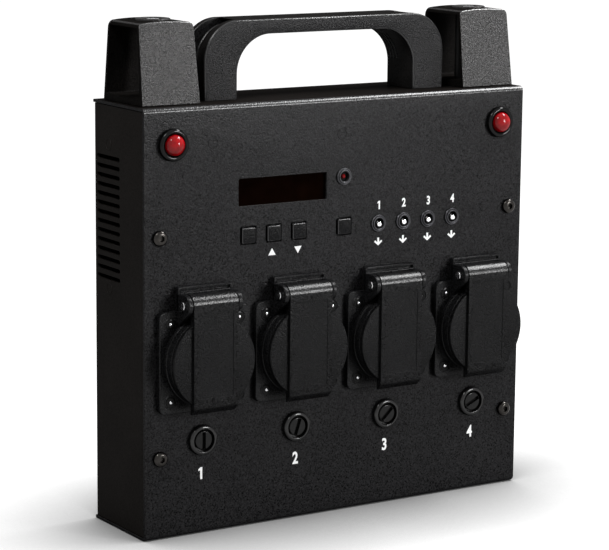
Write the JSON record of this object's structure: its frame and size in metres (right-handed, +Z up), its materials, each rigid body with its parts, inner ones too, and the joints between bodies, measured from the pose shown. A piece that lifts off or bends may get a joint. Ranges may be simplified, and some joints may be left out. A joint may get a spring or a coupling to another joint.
{
  "type": "dmx switch pack",
  "caption": "Flat black steel switch pack: sprung-lid sockets over fuse holders, toggle switches, display and buttons, red lamps, and a bridge handle on top.",
  "frame": {"origin": "Middle of the whole object's footprint, at the case's flat underside.", "axes": "X runs along the row of sockets, to the right as seen from the front. Y runs from the front panel to the back. Z is up, towards the handle."},
  "size_m": [0.2248, 0.0644, 0.2491],
  "materials": {
    "cover_powder_coat": "fine-textured flat black powder coat",
    "tray_powder_coat": "fine-textured flat black powder coat",
    "dark_chrome": "black chrome plate",
    "socket_plastic": "moulded black, slight sheen",
    "lid_plastic": "moulded black, satin",
    "pin_steel": "bright steel pin",
    "fuse_plastic": "glossy moulded black",
    "fuse_cap_plastic": "glossy moulded black",
    "fuse_link_glass": "clear glass tube with metal ends",
    "toggle_metal": "nickel-plated",
    "lever_chrome": "polished chrome",
    "button_plastic": "satin black caps",
    "window_acrylic": "very dark red clear acrylic",
    "module_plastic": "dark moulded frame",
    "bezel_gloss": "polished black",
    "lamp_red": "red translucent dome",
    "bezel_grey": "grey ring",
    "signal_red": "red translucent dome",
    "control_board_resin": "green circuit board",
    "power_board_resin": "green circuit board with relays",
    "handle_plastic": "satin moulded black",
    "block_plastic": "coarse-grained moulded black",
    "block_screw_steel": "zinc-plated cap screw",
    "dmx_in_connector_shell": "dark shell",
    "dmx_out_connector_shell": "dark shell",
    "inlet_plastic": "moulded black"
  },
  "bodies": {
    "root": {"block_screw_left": "block_screw_steel", "block_screw_right": "block_screw_steel", "carry_handle": "handle_plastic", "control_board": "control_board_resin", "cover_screw_lower_left": "dark_chrome", "cover_screw_lower_right": "dark_chrome", "cover_screw_upper_left": "dark_chrome", "cover_screw_upper_right": "dark_chrome", "display_module": "module_plastic", "display_window": "window_acrylic", "dmx_in_connector": "dmx_in_connector_shell", "dmx_out_connector": "dmx_out_connector_shell", "front_cover": "cover_powder_coat", "fuse_holder_1": "fuse_plastic", "fuse_holder_2": "fuse_plastic", "fuse_holder_3": "fuse_plastic", "fuse_holder_4": "fuse_plastic", "hinge_pin_1": "pin_steel", "hinge_pin_2": "pin_steel", "hinge_pin_3": "pin_steel", "hinge_pin_4": "pin_steel", "lamp_bezel_left": "bezel_gloss", "lamp_bezel_right": "bezel_gloss", "lamp_lens_left": "lamp_red", "lamp_lens_right": "lamp_red", "mains_inlet": "inlet_plastic", "power_board": "power_board_resin", "rear_tray": "tray_powder_coat", "signal_bezel": "bezel_grey", "signal_led": "signal_red", "socket_base_1": "socket_plastic", "socket_base_2": "socket_plastic", "socket_base_3": "socket_plastic", "socket_base_4": "socket_plastic", "stand_block_left": "block_plastic", "stand_block_right": "block_plastic", "toggle_body_1": "toggle_metal", "toggle_body_2": "toggle_metal", "toggle_body_3": "toggle_metal", "toggle_body_4": "toggle_metal"},
    "lid_1": {"socket_lid_1": "lid_plastic"},
    "lid_2": {"socket_lid_2": "lid_plastic"},
    "lid_3": {"socket_lid_3": "lid_plastic"},
    "lid_4": {"socket_lid_4": "lid_plastic"},
    "button_mode_cap": {"button_mode": "button_plastic"},
    "button_up_cap": {"button_up": "button_plastic"},
    "button_down_cap": {"button_down": "button_plastic"},
    "button_lock_cap": {"button_lock": "button_plastic"},
    "lever_1": {"toggle_lever_1": "lever_chrome"},
    "lever_2": {"toggle_lever_2": "lever_chrome"},
    "lever_3": {"toggle_lever_3": "lever_chrome"},
    "lever_4": {"toggle_lever_4": "lever_chrome"},
    "fuse_1": {"fuse_link_1": "fuse_link_glass"},
    "cap_1": {"fuse_cap_1": "fuse_cap_plastic"},
    "fuse_2": {"fuse_link_2": "fuse_link_glass"},
    "cap_2": {"fuse_cap_2": "fuse_cap_plastic"},
    "fuse_3": {"fuse_link_3": "fuse_link_glass"},
    "cap_3": {"fuse_cap_3": "fuse_cap_plastic"},
    "fuse_4": {"fuse_link_4": "fuse_link_glass"},
    "cap_4": {"fuse_cap_4": "fuse_cap_plastic"}
  },
  "joints": [
    {"name": "lid_hinge_1", "type": "hinge", "parent": "root", "child": "lid_1", "pos_m": [-0.0808, -0.02705, 0.11559], "axis": [-1, 0, 0], "range_deg": [0, 105], "stiffness_Nm_per_rad": 0.01, "springref_deg": -28.65},
    {"name": "lid_hinge_2", "type": "hinge", "parent": "root", "child": "lid_2", "pos_m": [-0.0272, -0.02705, 0.11559], "axis": [-1, 0, 0], "range_deg": [0, 105], "stiffness_Nm_per_rad": 0.01, "springref_deg": -28.65},
    {"name": "lid_hinge_3", "type": "hinge", "parent": "root", "child": "lid_3", "pos_m": [0.0264, -0.02705, 0.11559], "axis": [-1, 0, 0], "range_deg": [0, 105], "stiffness_Nm_per_rad": 0.01, "springref_deg": -28.65},
    {"name": "lid_hinge_4", "type": "hinge", "parent": "root", "child": "lid_4", "pos_m": [0.08, -0.02705, 0.11559], "axis": [-1, 0, 0], "range_deg": [0, 105], "stiffness_Nm_per_rad": 0.01, "springref_deg": -28.65},
    {"name": "button_mode_press", "type": "slide", "parent": "root", "child": "button_mode_cap", "axis": [0, 1, 0], "range_m": [0, 0.0006], "stiffness_N_per_m": 800, "springref_m": -0.0006},
    {"name": "button_up_press", "type": "slide", "parent": "root", "child": "button_up_cap", "axis": [0, 1, 0], "range_m": [0, 0.0006], "stiffness_N_per_m": 800, "springref_m": -0.0006},
    {"name": "button_down_press", "type": "slide", "parent": "root", "child": "button_down_cap", "axis": [0, 1, 0], "range_m": [0, 0.0006], "stiffness_N_per_m": 800, "springref_m": -0.0006},
    {"name": "button_lock_press", "type": "slide", "parent": "root", "child": "button_lock_cap", "axis": [0, 1, 0], "range_m": [0, 0.0006], "stiffness_N_per_m": 800, "springref_m": -0.0006},
    {"name": "toggle_tilt_1", "type": "hinge", "parent": "root", "child": "lever_1", "pos_m": [0.0206, -0.01715, 0.1448], "axis": [-1, 0, 0], "range_deg": [0, 30]},
    {"name": "toggle_tilt_2", "type": "hinge", "parent": "root", "child": "lever_2", "pos_m": [0.0356, -0.01715, 0.1448], "axis": [-1, 0, 0], "range_deg": [0, 30]},
    {"name": "toggle_tilt_3", "type": "hinge", "parent": "root", "child": "lever_3", "pos_m": [0.0506, -0.01715, 0.1448], "axis": [-1, 0, 0], "range_deg": [0, 30]},
    {"name": "toggle_tilt_4", "type": "hinge", "parent": "root", "child": "lever_4", "pos_m": [0.0656, -0.01715, 0.1448], "axis": [-1, 0, 0], "range_deg": [0, 30]},
    {"name": "fuse_draw_1", "type": "slide", "parent": "root", "child": "fuse_1", "axis": [0, -1, 0], "range_m": [0, 0.028]},
    {"name": "fuse_cap_turn_1", "type": "hinge", "parent": "fuse_1", "child": "cap_1", "pos_m": [-0.0808, -0.02025, 0.0468], "axis": [0, -1, 0], "range_deg": [0, 90]},
    {"name": "fuse_draw_2", "type": "slide", "parent": "root", "child": "fuse_2", "axis": [0, -1, 0], "range_m": [0, 0.028]},
    {"name": "fuse_cap_turn_2", "type": "hinge", "parent": "fuse_2", "child": "cap_2", "pos_m": [-0.0272, -0.02025, 0.0468], "axis": [0, -1, 0], "range_deg": [0, 90]},
    {"name": "fuse_draw_3", "type": "slide", "parent": "root", "child": "fuse_3", "axis": [0, -1, 0], "range_m": [0, 0.028]},
    {"name": "fuse_cap_turn_3", "type": "hinge", "parent": "fuse_3", "child": "cap_3", "pos_m": [0.0264, -0.02025, 0.0468], "axis": [0, -1, 0], "range_deg": [0, 90]},
    {"name": "fuse_draw_4", "type": "slide", "parent": "root", "child": "fuse_4", "axis": [0, -1, 0], "range_m": [0, 0.028]},
    {"name": "fuse_cap_turn_4", "type": "hinge", "parent": "fuse_4", "child": "cap_4", "pos_m": [0.08, -0.02025, 0.0468], "axis": [0, -1, 0], "range_deg": [0, 90]}
  ]
}
